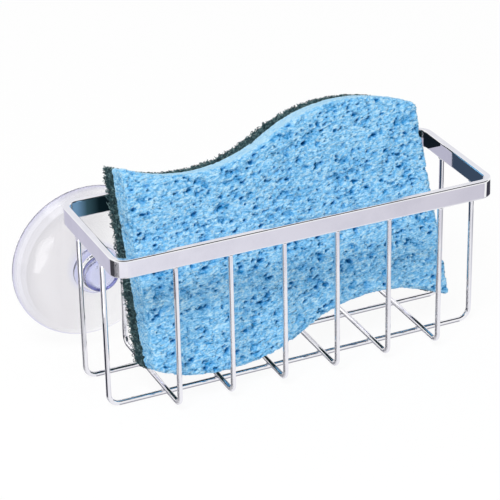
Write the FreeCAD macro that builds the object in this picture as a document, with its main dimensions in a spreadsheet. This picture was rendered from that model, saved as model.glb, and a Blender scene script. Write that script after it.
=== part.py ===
import FreeCAD, Part
import math
import os
import Sketcher

# Sizes of the wire basket, its suction cups and its sponge, in millimetres
sizes = {
    "rim_length": 142,
    "rim_depth": 52,
    "rim_height": 62,
    "rim_corner_radius": 5.8,
    "band_height": 6.6,
    "band_thickness": 2.5,
    "band_edge_round": 0.6,
    "wire_diameter": 1.85,
    "cross_wire_count": 6,
    "cross_wire_inset": 21.65,
    "cross_wire_bend": 3,
    "long_wire_inset": 15.15,
    "long_wire_bend": 4,
    "weld_gap": 0.05,
    "ring_radius": 6.6,
    "hub_height": 32.7,
    "cup_radius": 28.5,
    "cup_depth": 14.225,
    "cup_clearance": 0.3,
    "cup_hollow": 3.8,
    "cup_bell_radius": 40,
    "skirt_width": 3.6,
    "skirt_height": 4.7,
    "lip_width": 2.2,
    "lip_thickness": 0.7,
    "head_length": 3,
    "head_overhang": 1,
    "head_round": 1.8,
    "shoulder_overhang": 3.4,
    "shoulder_length": 1.2,
    "sponge_end_room": 21.4,
    "sponge_height": 68.4,
    "sponge_wave": 7,
    "sponge_corner": 2,
    "sponge_shift": 1.4,
    "sponge_front_room": 1.7,
    "sponge_turn": 4.9,
    "sponge_tilt": 1.5,
    "sponge_clearance": 0.3,
    "foam_thickness": 9.6,
    "scour_thickness": 8.2,
}

# Formulas that several pieces share
wire_radius = "(Sizes.wire_diameter / 2)"
leg_x = "((Sizes.rim_length - Sizes.band_thickness) / 2)"
leg_y = "((Sizes.rim_depth - Sizes.band_thickness) / 2)"
band_underside = "(Sizes.rim_height - Sizes.band_height)"
cross_wire_floor = f"(3 * {wire_radius} + Sizes.weld_gap)"
floor_top = f"({cross_wire_floor} + {wire_radius})"
outer_cross_wire = "(Sizes.rim_length / 2 - Sizes.cross_wire_inset)"
eye_reach = "(Sizes.ring_radius + Sizes.wire_diameter + Sizes.weld_gap)"
left_eye = f"(-{outer_cross_wire} - {eye_reach})"
right_eye = f"({outer_cross_wire} - {eye_reach})"
neck_length = "(Sizes.wire_diameter + 2 * Sizes.cup_clearance)"
neck_radius = f"(Sizes.ring_radius - {wire_radius} - Sizes.cup_clearance)"
head_front = f"({leg_y} - Sizes.head_length - {neck_length} / 2)"
lip_plane = f"({head_front} + Sizes.cup_depth)"

# The basket is set off so that the whole object, cups included, lies evenly about the origin
basket_x = f"((Sizes.cup_radius - {left_eye} - Sizes.rim_length / 2) / 2)"
basket_y = f"((Sizes.rim_depth / 2 - {lip_plane}) / 2)"

center_on_left = 1
center_on_right = -1
nearly_zero = 1e-6

document = FreeCAD.newDocument("sponge_holder")
sheet = document.addObject("Spreadsheet::Sheet", "Sizes")
for row, (alias, size) in enumerate(sizes.items(), start=1):
    sheet.set(f"A{row}", alias)
    sheet.set(f"B{row}", str(size))
    sheet.setAlias(f"B{row}", alias)
document.recompute()


def number(formula):
    return float(sheet.evalExpression(formula))


def bind(piece, **formulas):
    for path, formula in formulas.items():
        piece.setExpression(path.replace("__", "."), formula)


def new_body(label):
    body = document.addObject("PartDesign::Body", label)
    body.Label = label
    return body


def new_sketch(body, name, plane_role, offset=None):
    sketch = body.newObject("Sketcher::SketchObject", f"{body.Name}_{name}")
    plane = next(feature for feature in body.Origin.OriginFeatures if feature.Role == plane_role)
    sketch.AttachmentSupport = [(plane, "")]
    sketch.MapMode = "FlatFace"
    if offset:
        bind(sketch, AttachmentOffset__Base__z=offset)
    return sketch


def hold_point(sketch, edge, end, place):
    for kind, formula, axis in (("DistanceX", place[0], -2), ("DistanceY", place[1], -1)):
        value = number(formula)
        if abs(value) < nearly_zero:
            sketch.addConstraint(Sketcher.Constraint("PointOnObject", edge, end, axis))
            continue
        points = (-1, 1, edge, end) if value > 0 else (edge, end, -1, 1)
        index = sketch.addConstraint(Sketcher.Constraint(kind, *points, abs(value)))
        sketch.setExpression(f"Constraints[{index}]", formula if value > 0 else f"-({formula})")


def arc_middle(start, finish, radius, side):
    chord = finish - start
    half = chord.Length / 2
    rise = radius - math.sqrt(max(radius ** 2 - half ** 2, 0))
    right = FreeCAD.Vector(chord.y, -chord.x, 0).normalize()
    return (start + finish) / 2 + right * rise * side


def draw_outline(sketch, places, arcs, closed=True):
    """Joins the places with lines, and with arcs where arcs gives a side and a radius formula."""
    points = [FreeCAD.Vector(number(x), number(y), 0) for x, y in places]
    edge_count = len(places) if closed else len(places) - 1
    ends = []
    for step in range(edge_count):
        start, finish = points[step], points[(step + 1) % len(points)]
        if step not in arcs:
            edge = sketch.addGeometry(Part.LineSegment(start, finish))
            ends.append((edge, 1, 2))
            continue
        side, radius = arcs[step]
        middle = arc_middle(start, finish, number(radius), side)
        if side == center_on_left:
            edge = sketch.addGeometry(Part.Arc(start, middle, finish))
            ends.append((edge, 1, 2))
        else:
            edge = sketch.addGeometry(Part.Arc(finish, middle, start))
            ends.append((edge, 2, 1))
        index = sketch.addConstraint(Sketcher.Constraint("Radius", edge, number(radius)))
        sketch.setExpression(f"Constraints[{index}]", radius)
    for step, (edge, first, last) in enumerate(ends):
        hold_point(sketch, edge, first, places[step])
        if step + 1 < edge_count or closed:
            following, following_first, _ = ends[(step + 1) % edge_count]
            sketch.addConstraint(Sketcher.Constraint("Coincident", edge, last, following, following_first))
        else:
            hold_point(sketch, edge, last, places[-1])


def rounded_rectangle(sketch, half_x, half_y, radius):
    near_x, near_y = f"({half_x} - {radius})", f"({half_y} - {radius})"
    places = [
        (near_x, f"-{half_y}"), (half_x, f"-{near_y}"),
        (half_x, near_y), (near_x, half_y),
        (f"-{near_x}", half_y), (f"-{half_x}", near_y),
        (f"-{half_x}", f"-{near_y}"), (f"-{near_x}", f"-{half_y}"),
    ]
    corner_arcs = {step: (center_on_left, radius) for step in (0, 2, 4, 6)}
    draw_outline(sketch, places, corner_arcs)


def make_rim_band():
    """Flat bar bent on edge into a rounded rectangle, with its long edges eased."""
    body = new_body("rim_band")
    outline = new_sketch(body, "outline", "XY_Plane", band_underside)
    rounded_rectangle(outline, "(Sizes.rim_length / 2)", "(Sizes.rim_depth / 2)", "Sizes.rim_corner_radius")
    rounded_rectangle(
        outline,
        "(Sizes.rim_length / 2 - Sizes.band_thickness)",
        "(Sizes.rim_depth / 2 - Sizes.band_thickness)",
        "(Sizes.rim_corner_radius - Sizes.band_thickness)",
    )
    band = body.newObject("PartDesign::Pad", "band")
    band.Profile = outline
    bind(band, Length="Sizes.band_height")
    document.recompute()
    level_edges = [
        f"Edge{index}" for index, edge in enumerate(band.Shape.Edges, start=1)
        if edge.BoundBox.ZLength < nearly_zero
    ]
    eased = body.newObject("PartDesign::Fillet", "eased_edges")
    eased.Base = (band, level_edges)
    bind(eased, Radius="Sizes.band_edge_round")
    bind(body, Placement__Base__x=basket_x, Placement__Base__y=basket_y)


def make_bent_wire(label, plane_role, half_span, floor, bend, place):
    """Round wire bent into a U: two legs up to the band and a straight run along the floor."""
    body = new_body(label)
    path = new_sketch(body, "path", plane_role)
    bend_top, bend_side = f"({floor} + {bend})", f"({half_span} - {bend})"
    places = [
        (f"-{half_span}", band_underside), (f"-{half_span}", bend_top),
        (f"-{bend_side}", floor), (bend_side, floor),
        (half_span, bend_top), (half_span, band_underside),
    ]
    bends = {1: (center_on_left, bend), 3: (center_on_left, bend)}
    draw_outline(path, places, bends, closed=False)

    section = new_sketch(body, "section", "XY_Plane", band_underside)
    start = ("0", f"-{half_span}") if plane_role == "YZ_Plane" else (f"-{half_span}", "0")
    center = FreeCAD.Vector(number(start[0]), number(start[1]), 0)
    circle = section.addGeometry(Part.Circle(center, FreeCAD.Vector(0, 0, 1), number(wire_radius)))
    hold_point(section, circle, 3, start)
    index = section.addConstraint(Sketcher.Constraint("Diameter", circle, number("Sizes.wire_diameter")))
    section.setExpression(f"Constraints[{index}]", "Sizes.wire_diameter")
    document.recompute()

    wire = body.newObject("PartDesign::AdditivePipe", f"{label}_wire")
    wire.Profile = section
    wire.Spine = (path, [f"Edge{index}" for index in range(1, len(places))])
    bind(body, Placement__Base__x=place[0], Placement__Base__y=place[1])


def make_cup_ring(label, eye):
    """Closed eye of the same wire, welded to the left of an outer cross wire's rear leg."""
    ring = document.addObject("Part::Torus", label)
    ring.Label = label
    ring.Placement = FreeCAD.Placement(FreeCAD.Vector(), FreeCAD.Rotation(FreeCAD.Vector(1, 0, 0), 90))
    bind(
        ring, Radius1="Sizes.ring_radius", Radius2=wire_radius,
        Placement__Base__x=f"{basket_x} + {eye}",
        Placement__Base__y=f"{basket_y} + {leg_y}",
        Placement__Base__z="Sizes.hub_height",
    )


def make_suction_cup(label, eye):
    """Soft cup with a bell, a flared skirt and a mushroom head whose neck sits in the wire eye."""
    head_radius = f"({neck_radius} + Sizes.head_overhang)"
    head_face = f"({head_radius} - Sizes.head_round)"
    neck_end = f"(Sizes.head_length + {neck_length})"
    shoulder_radius = f"({neck_radius} + Sizes.shoulder_overhang)"
    shoulder_end = f"({neck_end} + Sizes.shoulder_length)"
    lip_inner = "(Sizes.cup_radius - Sizes.lip_width)"
    hollow_radius = f"(({lip_inner} ^ 2 + Sizes.cup_hollow ^ 2) / (2 * Sizes.cup_hollow))"
    places = [
        ("0", "0"),
        (head_face, "0"),
        (head_radius, "Sizes.head_round"),
        (head_radius, "Sizes.head_length"),
        (neck_radius, "Sizes.head_length"),
        (neck_radius, neck_end),
        (shoulder_radius, neck_end),
        (shoulder_radius, shoulder_end),
        ("(Sizes.cup_radius - Sizes.skirt_width)", "(Sizes.cup_depth - Sizes.skirt_height)"),
        ("Sizes.cup_radius", "(Sizes.cup_depth - Sizes.lip_thickness)"),
        ("Sizes.cup_radius", "Sizes.cup_depth"),
        (lip_inner, "Sizes.cup_depth"),
        ("0", "(Sizes.cup_depth - Sizes.cup_hollow)"),
    ]
    rounded = {
        1: (center_on_left, "Sizes.head_round"),
        7: (center_on_left, "Sizes.cup_bell_radius"),
        11: (center_on_right, hollow_radius),
    }
    body = new_body(label)
    profile = new_sketch(body, "profile", "XY_Plane")
    draw_outline(profile, places, rounded)
    cup = body.newObject("PartDesign::Revolution", f"{label}_turned")
    cup.Profile = profile
    cup.ReferenceAxis = (profile, ["V_Axis"])
    cup.Angle = 360
    bind(
        body,
        Placement__Base__x=f"{basket_x} + {eye}",
        Placement__Base__y=f"{basket_y} + {head_front}",
        Placement__Base__z="Sizes.hub_height",
    )


def make_sponge_layer(label, face_offset, thickness):
    """One layer of the wavy sponge: it stands on the floor wires and leans on the rear band."""
    length = "(Sizes.rim_length - 2 * Sizes.band_thickness - Sizes.sponge_end_room)"
    quarter, wave = f"({length} / 4)", "Sizes.sponge_wave"
    wave_radius = f"(({quarter} ^ 2 + {wave} ^ 2) / (2 * {wave}))"
    bottom = f"({wave} - {wave_radius})"
    top = f"({bottom} + Sizes.sponge_height)"
    left_end, middle, right_end = f"-{quarter}", quarter, f"(3 * {quarter})"
    places = [
        (left_end, bottom), (middle, bottom), (right_end, bottom),
        (right_end, top), (middle, top), (left_end, top),
    ]
    waves = {
        0: (center_on_left, wave_radius),
        1: (center_on_right, wave_radius),
        3: (center_on_left, wave_radius),
        4: (center_on_right, wave_radius),
    }
    body = new_body(label)
    outline = new_sketch(body, "outline", "XZ_Plane", face_offset)
    draw_outline(outline, places, waves)
    slab = body.newObject("PartDesign::Pad", f"{label}_slab")
    slab.Profile = outline
    bind(slab, Length=thickness)
    document.recompute()
    middle_x, end_distance = number(middle), number(f"(2 * {quarter})")
    corner_edges = [
        f"Edge{index}" for index, edge in enumerate(slab.Shape.Edges, start=1)
        if edge.BoundBox.YLength > nearly_zero
        and abs(abs(edge.CenterOfMass.x - middle_x) - end_distance) < nearly_zero
    ]
    rounded = body.newObject("PartDesign::Fillet", f"{label}_corners")
    rounded.Base = (slab, corner_edges)
    bind(rounded, Radius="Sizes.sponge_corner")

    turn = "Sizes.sponge_turn"
    toe_height = f"({floor_top} + Sizes.sponge_clearance)"
    rise = f"(Sizes.rim_height - {toe_height})"
    band_inside = "(Sizes.rim_depth / 2 - Sizes.band_thickness)"
    sponge_thickness = "(Sizes.foam_thickness + Sizes.scour_thickness)"
    toe_y = f"({sponge_thickness} + Sizes.sponge_front_room - {band_inside})"
    run = f"(cos({turn}) * ({band_inside} - {toe_y}) - sin({turn}) * {right_end})"
    lean = f"(atan({run} / {rise}) - asin(Sizes.sponge_clearance / sqrt({run} ^ 2 + {rise} ^ 2)))"
    base_x = f"{basket_x} + Sizes.sponge_shift - {quarter} - {wave_radius} * sin({turn}) * sin({lean})"
    base_y = f"{basket_y} + {toe_y} + {wave_radius} * cos({turn}) * sin({lean})"
    base_z = f"{toe_height} + {wave_radius} * cos({lean})"
    turned = f"rotation(vector(0; 0; 1); {turn})"
    leaned = f"rotation(vector(1; 0; 0); -{lean})"
    tilted = "rotation(vector(0; 1; 0); Sizes.sponge_tilt)"
    base = f"vector({base_x}; {base_y}; {base_z})"
    bind(body, Placement=f"placement({base}; {turned} * {leaned} * {tilted})")


make_rim_band()
for index in range(sizes["cross_wire_count"]):
    place_x = f"{basket_x} + {outer_cross_wire} * (2 * {index} / (Sizes.cross_wire_count - 1) - 1)"
    make_bent_wire(
        f"cross_wire_{index + 1}", "YZ_Plane", leg_y, cross_wire_floor, "Sizes.cross_wire_bend",
        (place_x, basket_y),
    )
for label, side in (("long_wire_front", -1), ("long_wire_rear", 1)):
    place_y = f"{basket_y} + {side} * (Sizes.rim_depth / 2 - Sizes.long_wire_inset)"
    make_bent_wire(label, "XZ_Plane", leg_x, wire_radius, "Sizes.long_wire_bend", (basket_x, place_y))
for hand, eye in (("left", left_eye), ("right", right_eye)):
    make_cup_ring(f"cup_ring_{hand}", eye)
    make_suction_cup(f"suction_cup_{hand}", eye)
make_sponge_layer("sponge_foam", "Sizes.scour_thickness", "Sizes.foam_thickness")
make_sponge_layer("scour_pad", None, "Sizes.scour_thickness")
document.recompute()

for piece in document.Objects:
    if "Invalid" in piece.State or "Error" in piece.State:
        raise RuntimeError(f"{piece.Label} did not build: {piece.State}")

nodes = [piece for piece in document.Objects if piece.TypeId in ("PartDesign::Body", "Part::Torus")]
for node in nodes:
    if node.Shape.isNull() or not node.Shape.isValid():
        raise RuntimeError(f"{node.Label} has no valid shape")

os.makedirs("parts", exist_ok=True)
for node in nodes:
    node.Shape.exportStep(f"parts/{node.Label}.step")
    print(f"{node.Label}: {node.Shape.Volume:.1f} mm3")
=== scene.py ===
import math

import bpy
import numpy as np
from mathutils import Matrix, Vector, noise


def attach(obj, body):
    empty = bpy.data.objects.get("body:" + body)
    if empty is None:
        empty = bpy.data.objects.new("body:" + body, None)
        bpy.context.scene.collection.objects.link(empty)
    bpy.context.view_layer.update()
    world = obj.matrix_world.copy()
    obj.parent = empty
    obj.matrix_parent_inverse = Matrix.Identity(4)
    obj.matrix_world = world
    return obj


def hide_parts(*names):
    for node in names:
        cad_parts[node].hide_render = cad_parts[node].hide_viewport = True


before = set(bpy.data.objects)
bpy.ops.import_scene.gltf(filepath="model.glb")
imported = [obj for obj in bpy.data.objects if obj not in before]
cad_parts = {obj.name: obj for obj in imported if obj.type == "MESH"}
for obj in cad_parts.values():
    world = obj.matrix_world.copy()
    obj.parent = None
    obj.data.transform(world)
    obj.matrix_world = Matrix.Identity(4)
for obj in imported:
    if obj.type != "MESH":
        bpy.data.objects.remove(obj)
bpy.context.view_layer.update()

mm = 0.001
basketX = 7.675  # mm, middle of the basket; the left cup sticks out beyond its end
scene = bpy.context.scene
scene.view_settings.view_transform = "Standard"
print("frame loaded:", ", ".join(sorted(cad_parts)))


# camera, at the photograph's viewing angle
photoCamera = {
    "lens": 165.77,
    "sensor": 36,
    "clip": (0.01, 20),
    "azimuth": -24.221,
    "elevation": 26.877,
    "roll": -1.183,
    "distance": 0.7939,
    "target": (-0.003615, -0.004375, 0.04165),
}


def makeCamera(settings):
    turn, climb, roll = (math.radians(settings[k]) for k in ("azimuth", "elevation", "roll"))
    back = Vector((math.sin(turn) * math.cos(climb), -math.cos(turn) * math.cos(climb), math.sin(climb)))
    right = Vector((math.cos(turn), math.sin(turn), 0))
    up = back.cross(right)
    rolledRight = right * math.cos(roll) + up * math.sin(roll)
    rolledUp = up * math.cos(roll) - right * math.sin(roll)
    place = Matrix((rolledRight, rolledUp, back)).transposed().to_4x4()
    place.translation = Vector(settings["target"]) + back * settings["distance"]
    camera = bpy.data.objects.new("photoCamera", bpy.data.cameras.new("photoCamera"))
    camera.data.lens = settings["lens"]
    camera.data.sensor_width = settings["sensor"]
    camera.data.clip_start, camera.data.clip_end = settings["clip"]
    camera.matrix_world = place
    scene.collection.objects.link(camera)
    scene.camera = camera


makeCamera(photoCamera)
print("camera set")


# shader maths: a socket that can be added, multiplied and so on
class Signal:
    def __init__(self, finish, socket):
        self.finish, self.socket = finish, socket

    def maths(self, operation, first, second):
        return self.finish.node("ShaderNodeMath", {"operation": operation}, {0: first, 1: second})

    def __add__(self, other):
        return self.maths("ADD", self, other)

    def __sub__(self, other):
        return self.maths("SUBTRACT", self, other)

    def __rsub__(self, other):
        return self.maths("SUBTRACT", other, self)

    def __mul__(self, other):
        return self.maths("MULTIPLY", self, other)

    def __pow__(self, other):
        return self.maths("POWER", self, other)

    __radd__, __rmul__ = __add__, __mul__


class Finish:
    def __init__(self, name, tree=None):
        if tree is None:
            self.material = bpy.data.materials.new(name)
            self.material.use_nodes = True
            tree = self.material.node_tree
        self.tree = tree
        tree.nodes.clear()

    def node(self, kind, settings=None, sockets=None, out=0):
        made = self.tree.nodes.new(kind)
        for name, value in (settings or {}).items():
            if name == "stops":
                while len(made.color_ramp.elements) < len(value):
                    made.color_ramp.elements.new(1)
                for element, (place, colour) in zip(made.color_ramp.elements, value):
                    element.position, element.color = place, (*colour, 1)
            else:
                setattr(made, name, value)
        for key, value in (sockets or {}).items():
            if isinstance(value, Signal):
                self.tree.links.new(value.socket, made.inputs[key])
            else:
                made.inputs[key].default_value = value
        return Signal(self, made.outputs[out]) if made.outputs else None

    def place(self):
        return self.node("ShaderNodeTexCoord", out=3)  # object coordinates, in metres

    def apart(self, vector):
        return [self.node("ShaderNodeSeparateXYZ", None, {0: vector}, out=axis) for axis in range(3)]

    def grain(self, vector, scale, detail, rough=0.55):
        sockets = {"Vector": vector, "Scale": scale, "Detail": detail, "Roughness": rough}
        return self.node("ShaderNodeTexNoise", None, sockets)

    def ramp(self, factor, stops):
        return self.node("ShaderNodeValToRGB", {"stops": stops}, {0: factor})

    def fade(self, value, low, high, start=0.0, end=1.0):
        sockets = {"Value": value, 1: low, 2: high, 3: start, 4: end}
        return self.node("ShaderNodeMapRange", {"clamp": True}, sockets)

    def tint(self, factor, first, second):
        return self.node("ShaderNodeMix", {"data_type": "RGBA"}, {0: factor, 6: first, 7: second}, out=2)

    def carried(self, name):
        return self.node("ShaderNodeAttribute", {"attribute_name": name}, out=2)

    def bump(self, height, strength, distance):
        sockets = {"Height": height, "Strength": strength, "Distance": distance}
        return self.node("ShaderNodeBump", None, sockets)

    def surface(self, sockets):
        shader = self.node("ShaderNodeBsdfPrincipled", None, sockets)
        self.node("ShaderNodeOutputMaterial", None, {"Surface": shader})
        return self.material


def rgb(red, green, blue):  # screen colour, 0 to 255, as a linear colour
    parts = [c / 255 for c in (red, green, blue)]
    return tuple(p / 12.92 if p <= 0.04045 else ((p + 0.055) / 1.055) ** 2.4 for p in parts)


# plated steel wire and band
platedSteel = {
    "colour": (0.91, 0.91, 0.93),
    "smudged": (0.84, 0.84, 0.87),
    "shine": 0.03,
    "smudgeShine": 0.09,
    "smudgeGrain": (90, 4.0),      # scale, detail
    "smudgeSpan": (0.42, 0.72),
    "rippleGrain": (700, 2.0),
    "rippleBump": (0.02, 0.0002),  # strength, metres
}


def makePlatedSteel(look):
    finish = Finish("platedSteel")
    place = finish.place()
    smudge = finish.fade(finish.grain(place, *look["smudgeGrain"]), *look["smudgeSpan"])
    ripple = finish.grain(place, *look["rippleGrain"])
    return finish.surface({
        "Base Color": finish.tint(smudge, (*look["colour"], 1), (*look["smudged"], 1)),
        "Metallic": 1.0,
        "Roughness": look["shine"] + smudge * (look["smudgeShine"] - look["shine"]),
        "Normal": finish.bump(ripple, *look["rippleBump"]),
    })


# soft clear vinyl of the suction cups; spans are in metres
clearVinyl = {
    "bell": (0.84, 0.825, 0.855),
    "clear": (0.99, 0.985, 1.0),     # painted light: the bell lighter towards the side that is turned to the basket's middle
    "fold": (0.70, 0.69, 0.73),      # painted shade, inside the line where the skirt begins, on the left side
    # painted sheen on the skirt, on the left side
    "paintedSkirtSheen": (0.89, 0.885, 0.95),
    "core": (0.72, 0.74, 0.96),
    "rim": (0.50, 0.52, 0.84),       # round edge of the head
    "deep": (0.04, 0.045, 0.22),     # painted shade: a dark crescent low on that edge
    "neck": (0.42, 0.44, 0.80),
    "edge": (0.70, 0.69, 0.88),
    "hubs": {"suction_cup_left": -0.050175, "suction_cup_right": 0.048525},
    "hubHeight": 0.0327,
    # where the painted sheen and shade of the skirt lie
    "paintedFlankSpan": (-0.024, -0.006),   # sideways from the hub
    "paintedFlankLean": 0.5,
    # where the painted light of the bell lies
    "paintedBrightSpan": (-0.008, 0.006),
    "paintedBrightLean": 0.1,
    # where the painted crescent shade lies
    "lowSpan": (-0.0050, -0.0030),
    "lowWay": (0.57, 0.82),          # shares of sideways and upward
    "coreSpan": (0.0062, 0.0105),    # outwards from the hub
    "rimSpan": (0.0046, 0.0061),
    "paintedCrescentSpan": (0.0041, 0.0048),
    "foldRadius": 0.0249,
    "foldShadeWidth": 0.005,
    "foldBlur": 0.0002,
    "lipRadius": 0.0285,
    "lipBlur": (0.0012, 0.0001),
    "neckSpan": (0.0190, 0.0217),    # along the cup's axis
    "neckBlur": (0.0002, 0.0003),
    "shineGrain": (60, 3.0),         # scale, detail
    "shineSpan": (0.3, 0.7, 0.04, 0.14),
    "dimpleGrain": (130, 2.0),
    "dimpleBump": (0.12, 0.0006),    # strength, metres
}


def makeClearVinyl(look, hub):
    finish = Finish("clearVinyl")
    place = finish.place()
    x, y, z = finish.apart(place)
    sideways, upward = x - hub, z - look["hubHeight"]
    radius = (sideways * sideways + upward * upward) ** 0.5
    upRight = sideways * look["lowWay"][0] + upward * look["lowWay"][1]
    line, lip = look["foldRadius"], look["lipRadius"]
    start, end = look["neckSpan"]
    startBlur, endBlur = look["neckBlur"]
    # painted sheen on the skirt and painted shade inside its line, on the left side only
    paintedFlankShare = finish.fade(sideways - upward * look["paintedFlankLean"], *look["paintedFlankSpan"], 1.0, 0.0)
    # painted light: share of the lighter bell colour, towards the basket's middle
    paintedBrightShare = finish.fade(sideways - upward * look["paintedBrightLean"], *look["paintedBrightSpan"])
    fold = finish.fade(radius, line - look["foldShadeWidth"], line)
    paintedSkirtSheen = finish.fade(radius, line - look["foldBlur"], line + look["foldBlur"])
    core = finish.fade(radius, *look["coreSpan"], 1.0, 0.0)
    head = finish.fade(y, start, start + startBlur, 1.0, 0.0)
    rim = finish.fade(radius, *look["rimSpan"]) * head
    # painted shade: a dark crescent on the lower left of the head's edge
    deep = finish.fade(radius, *look["paintedCrescentSpan"]) * head * finish.fade(upRight, *look["lowSpan"], 1.0, 0.0)
    neck = finish.fade(y, start, start + startBlur) * finish.fade(y, end, end + endBlur, 1.0, 0.0)
    edge = finish.fade(radius, lip - look["lipBlur"][0], lip - look["lipBlur"][1])
    colour = finish.tint(paintedBrightShare, (*look["bell"], 1), (*look["clear"], 1))
    for share, name in (
        (fold * paintedFlankShare, "fold"), (paintedSkirtSheen * paintedFlankShare, "paintedSkirtSheen"), (core, "core"),
        (rim * core, "rim"), (deep * core, "deep"), (neck * core, "neck"), (edge, "edge"),
    ):
        colour = finish.tint(share, colour, (*look[name], 1))
    return finish.surface({
        "Base Color": colour,
        "Roughness": finish.fade(finish.grain(place, *look["shineGrain"]), *look["shineSpan"]),
        "IOR": 1.45,
        "Transmission Weight": 0.92,
        "Normal": finish.bump(finish.grain(place, *look["dimpleGrain"]), *look["dimpleBump"]),
    })


steel = makePlatedSteel(platedSteel)
vinyl = {name: makeClearVinyl(clearVinyl, hub) for name, hub in clearVinyl["hubs"].items()}
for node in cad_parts.values():
    node.data.materials.clear()
for name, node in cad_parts.items():
    node.data.materials.append(vinyl.get(name, steel))
print("steel and vinyl finished")


# the sponge's own frame: along its length, up its face, and through it from the pad's back; mm and degrees
spongePose = {
    "turn": 4.9,
    "lean": 18.7557,
    "tilt": 1.5,
    "toe": (-19.825, -8.375, 4.05),  # where the pad's back meets the floor wires
    "length": 115.6,
    "height": 68.4,
    "wave": 7.0,
    "padDeep": 8.2,
    "foamDeep": 9.6,
    "sag": (  # shares of the length, and how far the lower edge hangs there
        (0, 0.15, 0.3, 0.45, 0.6, 0.85, 1),
        (0.9, 0.55, 0.3, 0.7, 0.8, 0.9, 1.7),
    ),
    "flare": 2.7,  # how far the lower right corner is drawn out
}
quarter = spongePose["length"] / 4
waveRadius = (quarter ** 2 + spongePose["wave"] ** 2) / (2 * spongePose["wave"])
spongeTurn = (
    Matrix.Rotation(math.radians(spongePose["turn"]), 4, "Z")
    @ Matrix.Rotation(math.radians(-spongePose["lean"]), 4, "X")
)
spongeFrame = spongeTurn @ Matrix.Rotation(math.radians(spongePose["tilt"]), 4, "Y")
spongeFrame.translation = (Vector(spongePose["toe"]) + spongeTurn @ Vector((0, 0, waveRadius))) * mm


def waveLine(along):  # height of the wavy lower edge, mm
    trough = -np.sqrt(waveRadius ** 2 - np.clip(along, -quarter, quarter) ** 2)
    past = np.clip(along - 2 * quarter, -quarter, quarter)
    crest = 2 * (spongePose["wave"] - waveRadius) + np.sqrt(waveRadius ** 2 - past ** 2)
    return np.where(along < quarter, trough, crest)


def onWave(flat):  # (along, up, through) in mm to the sponge's frame, in metres
    along, up, through = np.asarray(flat, float).T
    share = np.clip((along / quarter + 1) / 4, 0, 1)
    low = np.clip(1 - up / spongePose["height"], 0, 1)
    rise = up + waveLine(along) - np.interp(share, *spongePose["sag"]) * low ** 2
    return np.stack([along + spongePose["flare"] * share ** 4 * low, -through, rise], 1) * mm


def tidyMesh(points, faces):  # drops points that no face uses
    used = np.zeros(len(points), bool)
    used[[n for face in faces for n in face]] = True
    number = np.cumsum(used) - 1
    return points[used], [[int(number[n]) for n in face] for face in faces]


def slabSkin(low, high, steps, rounding, openBack=False):  # gridded box with round edges
    low, high = np.array(low, float), np.array(high, float)
    counts = [max(2, round(size / step)) for size, step in zip(high - low, steps)]
    grid = np.indices([n + 1 for n in counts]).reshape(3, -1).T
    outside = ((grid == 0) | (grid == counts)).any(1)
    number = np.full(len(grid), -1)
    number[outside] = np.arange(outside.sum())
    number = number.reshape([n + 1 for n in counts])
    faces = []
    for axis in range(3):
        for side in (0, -1):
            sheet = np.take(number, side, axis)
            if openBack and (axis, side) == (2, 0):  # one wide face, bonded to the pad
                loop = [*sheet[:-1, 0], *sheet[-1, :-1], *sheet[:0:-1, -1], *sheet[0, :0:-1]]
                faces.append([int(n) for n in loop[::-1]])
                continue
            corners = [sheet[:-1, :-1], sheet[1:, :-1], sheet[1:, 1:], sheet[:-1, 1:]]
            quads = np.stack(corners, -1).reshape(-1, 4)
            faces += (quads if (axis != 1) == (side == -1) else quads[:, ::-1]).tolist()
    half = (high - low) / 2
    offset = (grid[outside] / counts - 0.5) * 2 * half
    core = np.clip(offset, rounding - half, half - rounding)
    away = offset - core
    away *= (rounding / np.linalg.norm(away, axis=1))[:, None]
    return tidyMesh((low + high) / 2 + core + away, faces)


def spongeObject(name, points, faces, material):
    mesh = bpy.data.meshes.new(name)
    mesh.from_pydata(points.tolist(), [], faces)
    mesh.shade_smooth()
    mesh.materials.append(material)
    piece = bpy.data.objects.new(name, mesh)
    piece.matrix_world = spongeFrame
    scene.collection.objects.link(piece)
    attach(piece, "sponge")
    return piece


def normalsOf(mesh):
    flat = np.zeros(len(mesh.vertices) * 3)
    mesh.vertices.foreach_get("normal", flat)
    return flat.reshape(-1, 3)


def moveTo(piece, places):
    piece.data.vertices.foreach_set("co", places.ravel())
    piece.data.update()


def keepNumber(piece, name, values):
    numbers = piece.data.attributes.new(name, "FLOAT", "POINT")
    numbers.data.foreach_set("value", np.asarray(values, np.float32))


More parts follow.
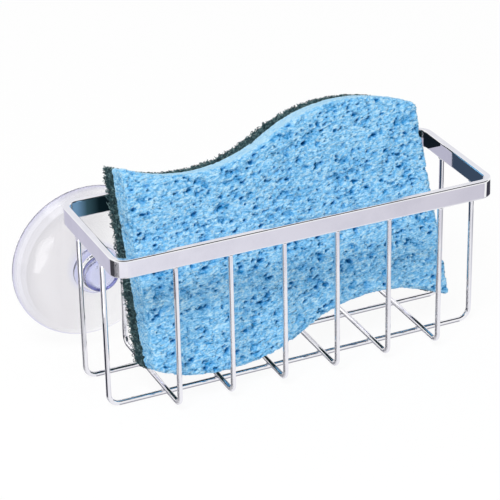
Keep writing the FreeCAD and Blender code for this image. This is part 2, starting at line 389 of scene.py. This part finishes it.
# cellulose foam layer; lengths in mm
foamLayer = {
    "seed": 7,                    # without it the vector noise follows the clock
    "grid": (0.34, 0.34, 0.6),
    "rounding": 1.6,
    "slant": 7,                   # degrees, of the cells against the sponge's length
    "warps": ((0.35, 0.7), (1.1, 0.35)),  # how finely and how far cells are pulled out of line
    "drift": (0.45, 0.9, 0.1),    # pores come in drifts: middle, swing, how finely
    "lots": (31.7, 17.3),         # scales at which each cell draws its luck and its reach
    "cells": [  # along, across, smallest and largest reach, depth, open share, painted shade
        (4.4, 2.6, 0.30, 0.62, 0.85, 0.62, 0.22),
        (3.0, 1.9, 0.20, 0.44, 1.60, 0.50, 0.50),
        (1.7, 1.05, 0.22, 0.46, 0.75, 0.52, 0.26),
    ],
    "wall": 2.2,                  # steep walls, flat bottom
    "crease": (2.6, 0.68, 0.44),  # along, across, height
    "creaseEdge": 2.4,
    # painted light on the raised crease ridges
    "creaseShade": 0.1,
    "swell": (0.3, 0.08),         # height, how finely
    "bonded": 1.2,                # flat so near to the pad
    "frontFacing": (1.3, 0.15),
    "topFacing": (1.5, 0.4),
    "topLoss": 0.6,               # the top is cut smooth
    "sideShare": 0.75,            # how much of the dents the cut sides show
    "shadeShares": (0.6, 0.4),    # painted shade of the cells: everywhere, and more on the front
    "sidePale": 0.03,
    "topPale": 0.14,
    "lowerDarkening": 0.02,                 # deeper colour towards the lower edge
    "lowerDarkeningHeight": 40,
    "streakScale": (430, 1250, 1250),
    "streakGrain": (1.0, 3.0, 0.6),  # scale, detail, roughness
    "speckScale": (860, 2000, 2000),
    "speckGrain": (1.0, 2.0),
    "markShare": 0.85,
    "markLoss": 0.5,              # on the cut top
    "depthBase": 0.24,
    "stops": (0.0, 0.24, 0.58, 0.95),
    "tones": (rgb(194, 234, 255), rgb(134, 203, 248), rgb(46, 148, 212), rgb(18, 120, 180)),
    "shineSpan": (0.3, 0.7, 0.6, 0.85),
    "markBump": (1.0, 0.0011),    # strength, metres
}


def foamDent(point, look):  # depth of the cells at a point in mm, and the shade painted into them
    slant = math.radians(look["slant"])
    along = point.x * math.cos(slant) + point.z * math.sin(slant)
    across = point.z * math.cos(slant) - point.x * math.sin(slant)
    moved = Vector((along, point.y, across))
    (coarse, far), (fine, near) = look["warps"]
    moved += noise.noise_vector(point * coarse) * far + noise.noise_vector(point * fine) * near
    middle, swing, pace = look["drift"]
    crowd = middle + swing * noise.noise(point * pace)
    luckLot, reachLot = look["lots"]
    total, hollow = 0.0, 0.0
    for long, wide, least, most, deep, opened, shade in look["cells"]:
        gaps, seeds = noise.voronoi(Vector((moved.x / long, moved.y / wide, moved.z / wide)))
        luck = 0.5 + 0.5 * noise.cell(seeds[0] * luckLot)
        if luck > opened * (0.5 + crowd):
            continue
        reach = least + (most - least) * (0.5 + 0.5 * noise.cell(seeds[0] * reachLot))
        bowl = min(1.0, look["wall"] * max(0.0, 1 - gaps[0] / reach))
        total += deep * bowl
        hollow += shade * bowl
    long, wide, height = look["crease"]
    fold = noise.noise(Vector((moved.x / long, moved.y / wide, moved.z / wide)))
    ridge = 1 - look["creaseEdge"] * abs(fold)
    rise, pace = look["swell"]
    swell = rise * noise.noise(point * pace)
    return total - height * ridge - swell, hollow - look["creaseShade"] * ridge


def makeFoamFinish(look):
    finish = Finish("cellulose")
    hollow = finish.carried("hollow")
    turned = finish.node("ShaderNodeVectorRotate", {"rotation_type": "Y_AXIS"},
                         {"Vector": finish.place(), "Angle": math.radians(look["slant"])})
    scaled = [finish.node("ShaderNodeVectorMath", {"operation": "MULTIPLY"}, {0: turned, 1: look[name]})
              for name in ("streakScale", "speckScale")]
    streak = finish.grain(scaled[0], *look["streakGrain"])
    speck = finish.grain(scaled[1], *look["speckGrain"])
    share = look["markShare"]
    marked = 1 - finish.carried("cut") * look["markLoss"]
    # the painted shade of the pits and ridges, with random streaks and specks, picks the tone
    depth = hollow + ((streak - 0.5) * share + (speck - 0.5) * share) * marked + look["depthBase"]
    return finish.surface({
        "Base Color": finish.ramp(depth, list(zip(look["stops"], look["tones"]))),
        "Roughness": finish.fade(speck, *look["shineSpan"]),
        "Specular IOR Level": 0.2,
        "Normal": finish.bump(streak * 0.5 + speck * 0.5, *look["markBump"]),
    })


def facing(normals, axis, span):  # 1 where the normal follows the signed axis, 0 where it is well off it
    slope, start = span
    return np.clip(math.copysign(1, axis) * normals[:, abs(axis)] * slope - start, 0, 1)


def makeFoam(look):
    deep, thick = spongePose["padDeep"], spongePose["foamDeep"]
    points, faces = slabSkin(
        (-quarter, 0, deep), (3 * quarter, spongePose["height"], deep + thick),
        look["grid"], look["rounding"], openBack=True,
    )
    places = onWave(points)
    foam = spongeObject("spongeFoam", places, faces, makeFoamFinish(look))
    normals = normalsOf(foam.data)
    front = facing(normals, -1, look["frontFacing"])
    top = facing(normals, 2, look["topFacing"]) * (1 - front)
    bonded = np.clip((points[:, 2] - deep) / look["bonded"], 0, 1)
    smooth = 1 - look["topLoss"] * top
    share = (look["sideShare"] + (1 - look["sideShare"]) * front) * smooth * bonded
    noise.seed_set(look["seed"])
    found = np.array([foamDent(Vector(p / mm), look) for p in places])
    moveTo(foam, places - normals * (found[:, 0] * share * mm)[:, None])
    everywhere, onFront = look["shadeShares"]
    shade = found[:, 1] * (everywhere + onFront * front) * smooth
    shade += -look["sidePale"] * (1 - front) - look["topPale"] * top
    # the foam's colour deepens towards the lower edge
    lowerDarkening = look["lowerDarkening"] * np.clip(1 - points[:, 1] / look["lowerDarkeningHeight"], 0, 1)
    keepNumber(foam, "hollow", shade + lowerDarkening)
    keepNumber(foam, "cut", top)
    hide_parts("sponge_foam")


makeFoam(foamLayer)
print("foam cells made")


# scouring pad: a matted core with a pile of loose, curly fibres; lengths in mm
scourPad = {
    "seed": 11,
    "grid": (0.7, 0.7, 0.7),
    "inset": 0.8,
    "bond": 0.15,            # how far the core reaches into the foam
    "rounding": 1.4,
    "rough": 0.6,
    "roughNoise": (0.7, 2.1, 4),
    "roughScale": 0.9,
    "coreTone": (0.3, 0.35),
    "fibres": 15000,
    "fibreTone": (0.5, 0.24),
    "edgeFibres": 0.52,      # share of the fibres on the cut edges
    "edgeRoom": 0.1,         # kept free next to the foam
    "rings": 6,
    "corner": 2.0944,        # a third of a turn, in radians
    "length": (0.9, 2.8),
    "curl": 2.2,             # turn along a fibre, in radians
    "thick": (0.1, 0.2),
    "lift": (0.1, 1.5),
    "offRun": 0.01,          # keeps the way out from lying along the fibre
    "sunk": 0.2,
    "reach": 0.3,            # how far fibres may pass the pad's outline
    "backRoom": 0.15,
    "stops": (0.08, 0.5, 0.95),
    "tones": (rgb(26, 49, 56), rgb(58, 92, 98), rgb(128, 158, 160)),
    "mottleGrain": (520, 4.0, 0.65),
    "mottleShare": 0.9,
    "shineSpan": (0.3, 0.7, 0.5, 0.8),
    "fuzzGrain": (1500, 2.0),
    "fuzzBump": (0.5, 0.0005),  # strength, metres
}


def makeScourFinish(look):
    finish = Finish("scourFibre")
    tone = finish.carried("tone")
    mottle = finish.grain(finish.place(), *look["mottleGrain"])
    shade = tone + (mottle - 0.5) * look["mottleShare"]
    return finish.surface({
        "Base Color": finish.ramp(shade, list(zip(look["stops"], look["tones"]))),
        "Roughness": finish.fade(mottle, *look["shineSpan"]),
        "Specular IOR Level": 0.3,
        "Normal": finish.bump(finish.grain(finish.place(), *look["fuzzGrain"]), *look["fuzzBump"]),
    })


def makeScourCore(look, material):
    inset = look["inset"]
    points, faces = slabSkin(
        (inset - quarter, inset, inset),
        (3 * quarter - inset, spongePose["height"] - inset, spongePose["padDeep"] + look["bond"]),
        look["grid"], look["rounding"],
    )
    places = onWave(points)
    core = spongeObject("scourCore", places, faces, material)
    normals = normalsOf(core.data)
    spots = [Vector(p / mm) * look["roughScale"] for p in places]
    rough = np.array([noise.fractal(spot, *look["roughNoise"]) for spot in spots])
    away = np.clip(1 + normals[:, 1], 0, 1)  # flat where the foam is bonded on
    moveTo(core, places + normals * (look["rough"] * rough * away * mm)[:, None])
    middle, swing = look["coreTone"]
    keepNumber(core, "tone", np.clip(middle + swing * rough, 0, 1))
    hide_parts("scour_pad")


def scatterOnPad(look, draw):  # roots of the fibres and the way out of the pad there
    count, inset = look["fibres"], look["inset"]
    long, high, deep = spongePose["length"], spongePose["height"], spongePose["padDeep"]
    ends, tall = (inset - quarter, 3 * quarter - inset), (inset, high - inset)
    root = np.stack([draw.uniform(*ends, count), draw.uniform(*tall, count), np.full(count, inset)], 1)
    outward = np.tile((0.0, 0.0, -1.0), (count, 1))
    onEdge = draw.random(count) < look["edgeFibres"]
    walk = draw.random(count) * 2 * (long + high)  # round the outline
    first = 0
    for span, axis, value, sign in (
        (long, 1, tall[1], 1), (long, 1, tall[0], -1), (high, 0, ends[0], -1), (high, 0, ends[1], 1),
    ):
        rows = onEdge & (walk >= first) & (walk < first + span)
        root[rows, axis] = value
        root[rows, 2] = draw.uniform(inset, deep - look["edgeRoom"], rows.sum())
        outward[rows] = 0
        outward[rows, axis] = sign
        first += span
    return root, outward


def unitVectors(vectors):
    return vectors / (np.linalg.norm(vectors, axis=-1)[..., None] + 1e-9)  # never by nought


def fibrePaths(look, draw):  # curled middle lines, with the way out of the pad and the heading at each root
    root, outward = scatterOnPad(look, draw)
    count, rings = look["fibres"], look["rings"]
    spread = draw.normal(size=(count, 3))
    spread -= outward * (spread * outward).sum(1)[:, None]
    heading = spread / np.linalg.norm(spread, axis=1)[:, None]
    across = np.cross(outward, heading)
    along = np.linspace(0, 1, rings)[None, :, None]
    length = draw.uniform(*look["length"], count)[:, None, None]
    turn = draw.normal(0, look["curl"], count)[:, None, None] * along
    stride = length / rings * (np.cos(turn) * heading[:, None] + np.sin(turn) * across[:, None])
    walked = np.cumsum(stride, 1)
    lift = draw.uniform(*look["lift"], count)[:, None, None]
    path = root[:, None] + walked - walked.mean(1, keepdims=True)
    bow = np.where(draw.random((count, 1, 1)) < 0.5, np.sin(np.pi * along), along)  # loops and loose tips
    path += outward[:, None] * (lift * bow - look["sunk"])
    reach = look["reach"]
    low = (-quarter - reach, -reach, look["backRoom"])
    high = (3 * quarter + reach, spongePose["height"] + reach, spongePose["padDeep"])
    return np.clip(path, low, high), outward[:, None], heading[:, None], along


def makeScourFibres(look, material):
    draw = np.random.default_rng(look["seed"])
    path, outward, heading, along = fibrePaths(look, draw)
    count, rings = look["fibres"], look["rings"]
    run = unitVectors(np.gradient(path, axis=1))
    first = unitVectors(np.cross(run, outward + look["offRun"] * heading))
    second = np.cross(run, first)
    thick = draw.uniform(*look["thick"], count)[:, None, None] * (0.5 + 0.5 * np.sin(np.pi * along))
    angles = [look["corner"] * n for n in range(3)]
    spokes = [first * math.cos(angle) + second * math.sin(angle) for angle in angles]
    points = np.stack([path + thick * spoke for spoke in spokes], 2).reshape(-1, 3)
    base = (np.arange(count) * rings * 3)[:, None]
    quads = []
    for ring in range(0, (rings - 1) * 3, 3):
        for side in range(3):
            after = (side + 1) % 3
            quads.append(base + np.array((ring + side, ring + after, ring + 3 + after, ring + 3 + side)))
    caps = [base + np.array((2, 1, 0)), base + (rings - 1) * 3 + np.array((0, 1, 2))]
    faces = np.concatenate(quads).tolist() + np.concatenate(caps).tolist()
    fibres = spongeObject("scourFibres", onWave(points), faces, material)
    tone = np.clip(draw.normal(*look["fibreTone"], count), 0, 1)
    keepNumber(fibres, "tone", np.repeat(tone, rings * 3))


scourFinish = makeScourFinish(scourPad)
makeScourCore(scourPad, scourFinish)
makeScourFibres(scourPad, scourFinish)
print("scouring pad matted")


# resistance welds of the basket; mm, from the basket's middle
welds = {
    "wire": 0.925,
    "bandUnder": 55.4,
    "crossX": (-49.35, -29.61, -9.87, 9.87, 29.61, 49.35),
    "legY": (-29.125, 20.375),
    "longY": (-15.225, 6.475),
    "legX": 69.75,
    "crossing": 1.875,
    "crossingBead": (1.05, 1.05, 0.5),
    "eyes": ((-50.3, 20.375, 32.7), (48.4, 20.375, 32.7)),
    "eyeBead": (0.5, 0.8, 1.5),
    "collar": (  # outwards from the wire's skin, up from the band's underside
        (-0.1, 0.03), (0.3, 0.03), (0.2, -0.14), (0.1, -0.32), (0.02, -0.55), (-0.1, -0.55),
    ),
    "sides": 20,
    "bands": 8,
}


def collarAt(spot, look, points, faces):  # closed ring round an upright wire
    profile = [(look["wire"] + out, look["bandUnder"] + up) for out, up in look["collar"]]
    first, count, sides = len(points), len(profile), look["sides"]
    for side in range(sides):
        turn = 2 * math.pi * side / sides
        for radius, height in profile:
            points.append((spot[0] + radius * math.cos(turn), spot[1] + radius * math.sin(turn), height))
    for side in range(sides):
        after = (side + 1) % sides
        for step in range(count):
            up = (step + 1) % count
            faces.append((
                first + side * count + step, first + side * count + up,
                first + after * count + up, first + after * count + step,
            ))


def beadAt(spot, size, look, points, faces):  # squat drop of weld metal
    first, bands, sides = len(points), look["bands"], look["sides"]
    points.append((spot[0], spot[1], spot[2] - size[2]))
    for band in range(1, bands):
        tip = math.pi * band / bands
        for side in range(sides):
            turn = 2 * math.pi * side / sides
            points.append((
                spot[0] + size[0] * math.sin(tip) * math.cos(turn),
                spot[1] + size[1] * math.sin(tip) * math.sin(turn),
                spot[2] - size[2] * math.cos(tip),
            ))
    points.append((spot[0], spot[1], spot[2] + size[2]))
    last = len(points) - 1
    for side in range(sides):
        after = (side + 1) % sides
        faces.append((first, first + 1 + after, first + 1 + side))
        faces.append((last, last - sides + side, last - sides + after))
        for band in range(bands - 2):
            low = first + 1 + band * sides
            faces.append((low + side, low + after, low + sides + after, low + sides + side))


def makeWelds(look, material):
    points, faces = [], []
    for x in look["crossX"]:
        for y in look["legY"]:
            collarAt((x, y), look, points, faces)
        for y in look["longY"]:
            beadAt((x, y, look["crossing"]), look["crossingBead"], look, points, faces)
    for x in (-look["legX"], look["legX"]):
        for y in look["longY"]:
            collarAt((x, y), look, points, faces)
    for spot in look["eyes"]:
        beadAt(spot, look["eyeBead"], look, points, faces)
    mesh = bpy.data.meshes.new("weldBeads")
    mesh.from_pydata([((x + basketX) * mm, y * mm, z * mm) for x, y, z in points], [], faces)
    mesh.shade_smooth()
    mesh.materials.append(material)
    piece = bpy.data.objects.new("weldBeads", mesh)
    scene.collection.objects.link(piece)
    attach(piece, "basket")


makeWelds(welds, steel)
print("welds added")


# pale floor, white to the camera and to reflections, that keeps a soft shadow, and lamps; metres
studio = {
    "floorSize": 6.0,
    "floorLevel": -0.0004,
    "floorColour": (0.97, 0.97, 0.97, 1),
    "floorWhite": 0.93,
    "worldLight": 0.45,
    "aim": (0.0, 0.0, 0.04),
    "lamps": [  # name, place, size, watts
        ("keySoftbox", (-0.45, -0.52, 0.97), (0.42, 0.42), 8.9),
        ("fillSoftbox", (0.6, -0.8, 0.5), (0.8, 0.8), 1.0),
        ("backSoftbox", (-0.3, 0.8, 0.9), (0.8, 0.5), 1.6),
    ],
}


def seenDirectly(finish):  # 1 for camera, mirror and glass rays
    path = [finish.node("ShaderNodeLightPath", out=n) for n in (0, 3, 6)]
    return finish.node("ShaderNodeMath", {"operation": "MINIMUM"}, {0: path[0] + path[1] + path[2], 1: 1.0})


def makeSheet(name, corners, faces, materials):
    mesh = bpy.data.meshes.new(name)
    mesh.from_pydata(corners, [], faces)
    for material in materials:
        mesh.materials.append(material)
    sheet = bpy.data.objects.new(name, mesh)
    scene.collection.objects.link(sheet)
    return sheet


def makeFloor(look):
    finish = Finish("paleFloor")
    matt = finish.node("ShaderNodeBsdfDiffuse", None, {"Color": look["floorColour"]})
    white = finish.node("ShaderNodeEmission", None, {"Color": (1, 1, 1, 1), "Strength": 1.0})
    share = seenDirectly(finish) * look["floorWhite"]
    mixed = finish.node("ShaderNodeMixShader", None, {0: share, 1: matt, 2: white})
    finish.node("ShaderNodeOutputMaterial", None, {"Surface": mixed})
    half, level = look["floorSize"] / 2, look["floorLevel"]
    corners = [(x, y, level) for x, y in ((-half, -half), (half, -half), (half, half), (-half, half))]
    makeSheet("paleFloor", corners, [(0, 1, 2, 3)], [finish.material])


def makeWorld(look):
    scene.world = bpy.data.worlds.new("studioWorld")
    scene.world.use_nodes = True
    finish = Finish("studioWorld", scene.world.node_tree)
    lights = [finish.node("ShaderNodeBackground", None, {"Color": (1, 1, 1, 1), "Strength": strength})
              for strength in (look["worldLight"], 1.0)]
    mixed = finish.node("ShaderNodeMixShader", None, {0: seenDirectly(finish), 1: lights[0], 2: lights[1]})
    finish.node("ShaderNodeOutputWorld", None, {"Surface": mixed})


def makeLamps(look):
    for name, place, size, watts in look["lamps"]:
        lamp = bpy.data.lights.new(name, "AREA")
        lamp.shape = "RECTANGLE"
        lamp.size, lamp.size_y = size
        lamp.energy = watts
        box = bpy.data.objects.new(name, lamp)
        box.location = place
        box.rotation_euler = (Vector(look["aim"]) - Vector(place)).to_track_quat("-Z", "Y").to_euler()
        box.visible_camera = box.visible_glossy = False
        scene.collection.objects.link(box)


makeFloor(studio)
makeWorld(studio)
makeLamps(studio)
print("studio lit")


# glowing cards that only reflections see, which give the chrome and the vinyl their streaks: painted
# reflections of light and shade; metres
paleTone = (0.92, 0.915, 0.95)
screenTone = (0.90, 0.89, 0.96)
bandTone = (0.86, 0.85, 0.93)
lilacTone = (0.60, 0.585, 0.70)
# painted shadow under the floor wires
paintedWireShadow = (0.40, 0.40, 0.44)
flagTone = (0.05, 0.05, 0.07)
darkTone = (0.04, 0.04, 0.06)
cards = {
    "ribs": {  # saw-tooth card: pale slopes, dark steps that face the right; mm
        "across": (0.912, -0.41), "along": (0.41, 0.912),
        "left": -290, "right": 130, "near": -165, "far": 95, "pitch": 0.8, "base": -0.3, "rise": 0.36,
        "slope": paleTone, "step": flagTone,
    },
    "floor": [  # name, left, right, near, far, height, tones from left to right
        ("bandCard", -0.052, 0.168, -0.200, -0.108, 0.002, [bandTone, (0.62, 0.60, 0.68)]),
        ("cornerCard", -0.068, -0.052, -0.200, -0.108, 0.002, [bandTone]),
        ("endCard", -0.162, -0.082, 0.055, 0.160, 0.002, [lilacTone]),
        ("rightFlag", 0.168, 0.338, -0.075, 0.035, 0.002, [flagTone]),
        ("rightCard", 0.088, 0.167, -0.090, 0.060, 0.001, [(0.85, 0.85, 0.90), (0.35, 0.35, 0.40)]),
        # painted shadow under the floor wires, which their lower sides mirror
        ("frontWireShade", -0.0585, 0.0738, -0.0171, -0.0147, 0.0001, [paintedWireShadow]),
        ("rearWireShade", -0.0585, 0.0738, 0.0046, 0.0070, 0.0001, [paintedWireShadow]),
        ("overheadFlag", -1.0, 2.2, -1.35, 0.25, 1.2, [darkTone]),
    ],
    "standing": [  # name, left, right, low, high, place in depth, tones from left to right
        ("rearCard", -0.6, 1.5, 0.1, 1.0, 1.2, [(0.92, 0.92, 0.96), (0.82, 0.82, 0.86)]),
        # painted reflection of the sponge's blue foam and dark pad in the rim's inner back face
        ("rearSheen", -0.0625, -0.0535, 0.0540, 0.0618, 0.0181, [rgb(154, 204, 250), rgb(56, 84, 96)]),
        ("rearShade", -0.0535, -0.0490, 0.0540, 0.0618, 0.0181, [rgb(54, 82, 92), rgb(12, 28, 34)]),
        ("rearDark", -0.0490, -0.0400, 0.0540, 0.0618, 0.0181, [rgb(12, 28, 34), rgb(8, 20, 25)]),
        # painted shade in the reflection at the rim's inner right end
        ("cornerDark", 0.0655, 0.0758, 0.0540, 0.0618, 0.0181, [rgb(20, 28, 36)]),
    ],
    "screens": [  # keep the glint off the wires: name, near end, far end, low, high, tones from far to near
        ("sideScreen", (-0.068, 0.0), (-0.0681, -0.010), 0, 0.03, [paleTone]),
        ("legScreen", (-0.068, -0.010), (-0.0681, -0.0205), 0, 0.03, [darkTone]),
        ("frontScreen", (-0.068, -0.0205), (-0.0681, -0.033), 0, 0.03, [paleTone]),
        ("darkScreen", (-0.0681, -0.033), (-0.0685, -0.100), 0, 0.04, [paleTone, darkTone]),
        ("farScreen", (-0.0685, -0.100), (-0.075, -0.75), 0, 0.04, [paleTone]),
        ("highScreen", (-0.0681, -0.033), (-0.0682, -0.060), 0.04, 0.062, [screenTone]),
        ("longScreen", (-0.0680, -0.055), (-0.0745, -0.75), 0.027, 0.062, [screenTone]),
    ],
    "glint": {  # painted highlight: a glowing shape, no lamp, that the cup mirrors
        "height": 0.0005,
        "outline": (
            (-0.098, -0.055), (-0.089, -0.055), (-0.079, -0.12), (-0.102, -0.17), (-0.081, -0.26),
            (-0.086, -0.42), (-0.14, -0.72), (-0.24, -0.66), (-0.172, -0.356), (-0.133, -0.18),
        ),
        "tone": (5.0, 5.0, 5.0),
    },
    "ends": [  # beside the rim's ends: name, place across, near, far, low, high, tone
        ("sideCard", -0.0645, -0.0247, 0.0215, 0.053, 0.0615, lilacTone),
        ("cornerFlag", -0.0645, -0.0275, -0.0248, 0.053, 0.0615, (0.06, 0.06, 0.07)),
        # painted reflections in the rim's inner right face: a grey, and the navy of the sponge's shaded
        # right end
        ("innerGrey", 0.069, 0.0096, 0.028, 0.036, 0.056, (0.51, 0.503, 0.62)),
        ("innerFlag", 0.069, -0.020, 0.0095, 0.036, 0.056, (0.045, 0.07, 0.115)),
    ],
}


def glowing(name, tones):  # one tone, or two blended across the card
    finish = Finish(name)
    along = finish.apart(finish.node("ShaderNodeTexCoord"))[0]
    colour = finish.tint(along, (*tones[0], 1), (*tones[-1], 1))
    glow = finish.node("ShaderNodeEmission", None, {"Color": colour, "Strength": 1.0})
    finish.node("ShaderNodeOutputMaterial", None, {"Surface": glow})
    return finish.material


def makeCard(name, corners, faces, materials):
    card = makeSheet(name, corners, faces, materials)
    for ray in ("camera", "diffuse", "transmission", "volume_scatter", "shadow"):
        setattr(card, f"visible_{ray}", False)
    return card


def makePlainCard(name, corners, tones):
    makeCard(name, corners, [range(len(corners))], [glowing(name, tones)])


def makeRibbedCard(look):
    points, faces = [], []
    for rib in range(round((look["right"] - look["left"]) / look["pitch"])):
        first = len(points)
        start = look["left"] + rib * look["pitch"]
        stop = start + look["pitch"]
        for across, height in ((start, 0), (stop, look["rise"]), (stop, 0)):
            for along in (look["near"], look["far"]):
                x, y = (look["across"][n] * across + look["along"][n] * along for n in (0, 1))
                points.append(((x + basketX) * mm, y * mm, (look["base"] + height) * mm))
        faces += [(first, first + 2, first + 3, first + 1), (first + 2, first + 4, first + 5, first + 3)]
    finishes = [glowing(f"rib{part.title()}", [look[part]]) for part in ("slope", "step")]
    card = makeCard("ribbedCard", points, faces, finishes)
    card.data.polygons.foreach_set("material_index", [0, 1] * (len(faces) // 2))


def makeCards(look):
    makeRibbedCard(look["ribs"])
    for name, left, right, near, far, height, tones in look["floor"]:
        outline = ((left, near), (right, near), (right, far), (left, far))
        makePlainCard(name, [(x, y, height) for x, y in outline], tones)
    for name, left, right, low, high, depth, tones in look["standing"]:
        outline = ((left, low), (right, low), (right, high), (left, high))
        makePlainCard(name, [(x, depth, z) for x, z in outline], tones)
    for name, near, far, low, high, tones in look["screens"]:
        makePlainCard(name, [(*far, low), (*near, low), (*near, high), (*far, high)], tones)
    glint = look["glint"]
    makePlainCard("glintCard", [(x, y, glint["height"]) for x, y in glint["outline"]], [glint["tone"]])
    for name, x, near, far, low, high, tone in look["ends"]:
        outline = ((near, low), (far, low), (far, high), (near, high))
        makePlainCard(name, [(x, y, z) for y, z in outline], [tone])


makeCards(cards)
print("cards set for the reflections")
